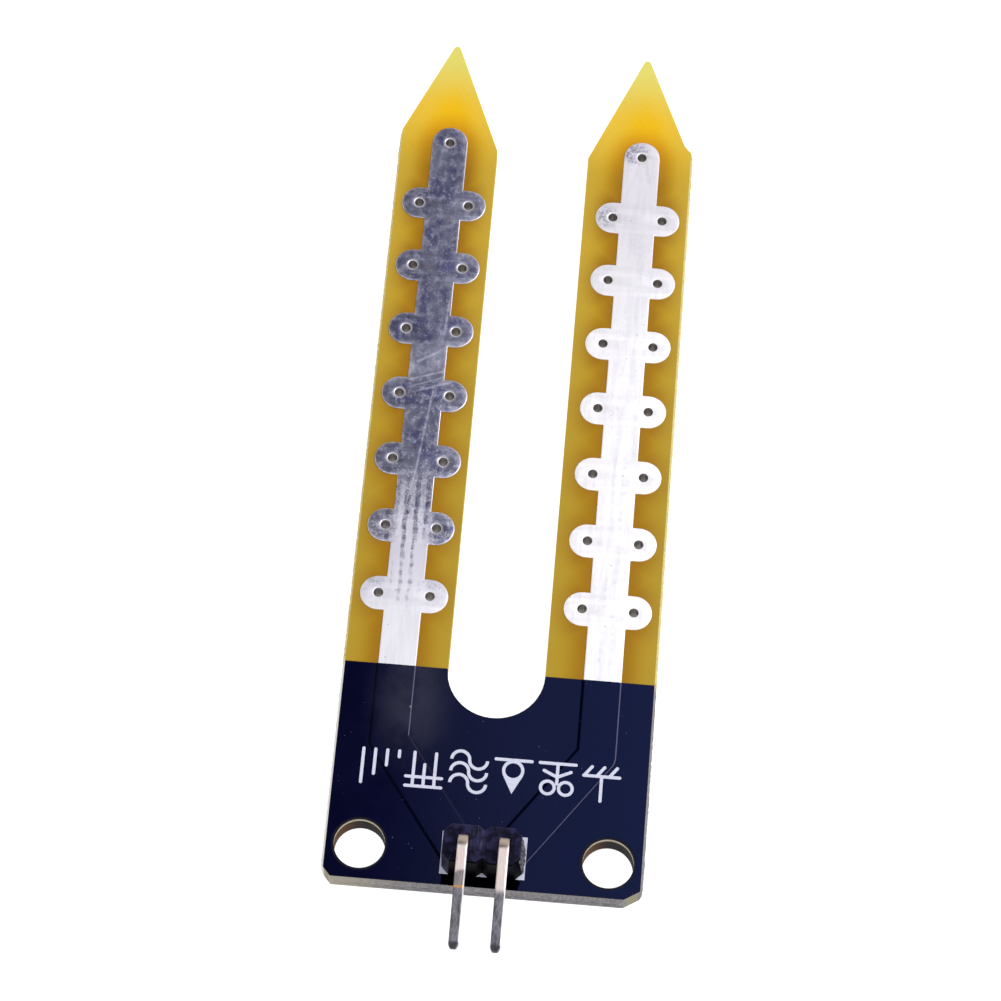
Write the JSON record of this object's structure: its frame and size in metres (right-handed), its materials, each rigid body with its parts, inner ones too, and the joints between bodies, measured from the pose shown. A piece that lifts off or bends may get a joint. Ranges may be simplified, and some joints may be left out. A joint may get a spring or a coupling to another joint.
{
  "type": "soil moisture sensor",
  "caption": "Fork-shaped soil moisture probe: pointed circuit-board prongs carry tinned electrodes with plated holes, and the dark base holds a bent pin header and mounting holes.",
  "frame": {"origin": "midway between the mounting holes, on the board's back face", "axes": "+X to the right seen from the front face, +Y along the prongs towards the tips, +Z out of the front face, on which the header stands"},
  "size_m": [0.02, 0.0663, 0.0068],
  "materials": {
    "laminate": "satin, translucent epoxy glass laminate",
    "copper": "satin copper foil",
    "tin_tarnished": "grey-violet tarnished tin, scratched and mottled",
    "tin_bright": "bright satin tin",
    "hole_plating": "dull tinned plating",
    "solder_mask": "gloss, dark navy",
    "white_ink": "matt printed ink",
    "header_plastic": "semi-gloss moulded black",
    "pin_metal": "tin-plated, drawn along the pin",
    "solder": "bright solder"
  },
  "bodies": {
    "root": {"substrate": "laminate", "left_copper_front": "copper", "right_copper_front": "copper", "left_copper_back": "copper", "right_copper_back": "copper", "left_tin_front": "tin_tarnished", "right_tin_front": "tin_bright", "left_tin_back": "tin_bright", "right_tin_back": "tin_bright", "left_vias": "hole_plating", "right_vias": "hole_plating", "left_header_barrel": "copper", "right_header_barrel": "copper", "mask_front": "solder_mask", "mask_back": "solder_mask", "printed_symbols": "white_ink", "printed_header_block": "white_ink", "header_housing": "header_plastic", "left_pin": "pin_metal", "right_pin": "pin_metal", "left_solder_joint": "solder", "right_solder_joint": "solder"}
  },
  "joints": []
}
